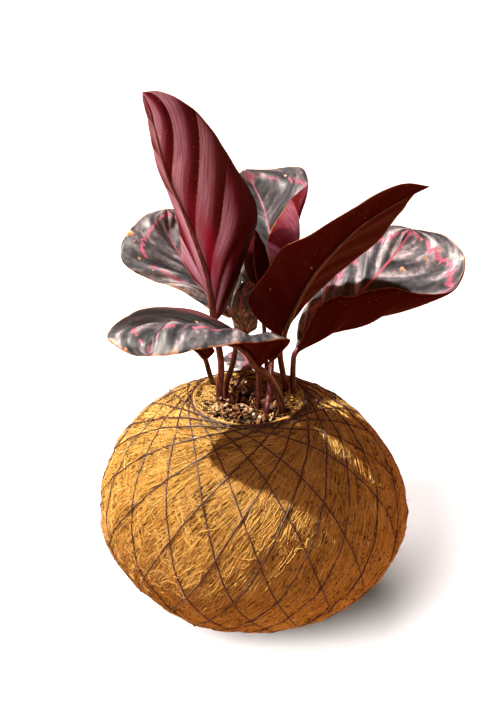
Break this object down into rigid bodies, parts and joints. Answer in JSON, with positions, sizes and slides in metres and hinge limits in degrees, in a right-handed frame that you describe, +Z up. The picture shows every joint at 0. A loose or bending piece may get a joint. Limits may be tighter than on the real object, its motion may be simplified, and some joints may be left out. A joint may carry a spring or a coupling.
{
  "type": "kokedama moss ball plant",
  "caption": "Leafy calathea growing from a ball of soil that is wrapped in coir fibre and wound with a net of twine.",
  "frame": {"origin": "centre of the flat spot on the ball's underside that it rests on", "axes": "+Z up the ball's axis, -Y towards the low boat-shaped leaf at the front, +X towards the long raised leaf on the right"},
  "size_m": [0.1942, 0.1665, 0.3046],
  "materials": {
    "coir": "matte fibre",
    "soil": "rough bark and soil",
    "rhizome": "matte",
    "twine": "waxed thread",
    "leaf": "satin leaf"
  },
  "bodies": {
    "root": {"coir_wrap": "coir", "soil_core": "soil", "rhizome": "rhizome", "twine_net": "twine", "leaf_tall": "leaf", "leaf_left": "leaf", "leaf_low_front": "leaf", "leaf_back": "leaf", "leaf_right_front": "leaf", "leaf_right_back": "leaf", "leaf_rolled": "leaf", "leaf_inner": "leaf", "leaf_low_left": "leaf", "leaf_low_back": "leaf"}
  },
  "joints": []
}
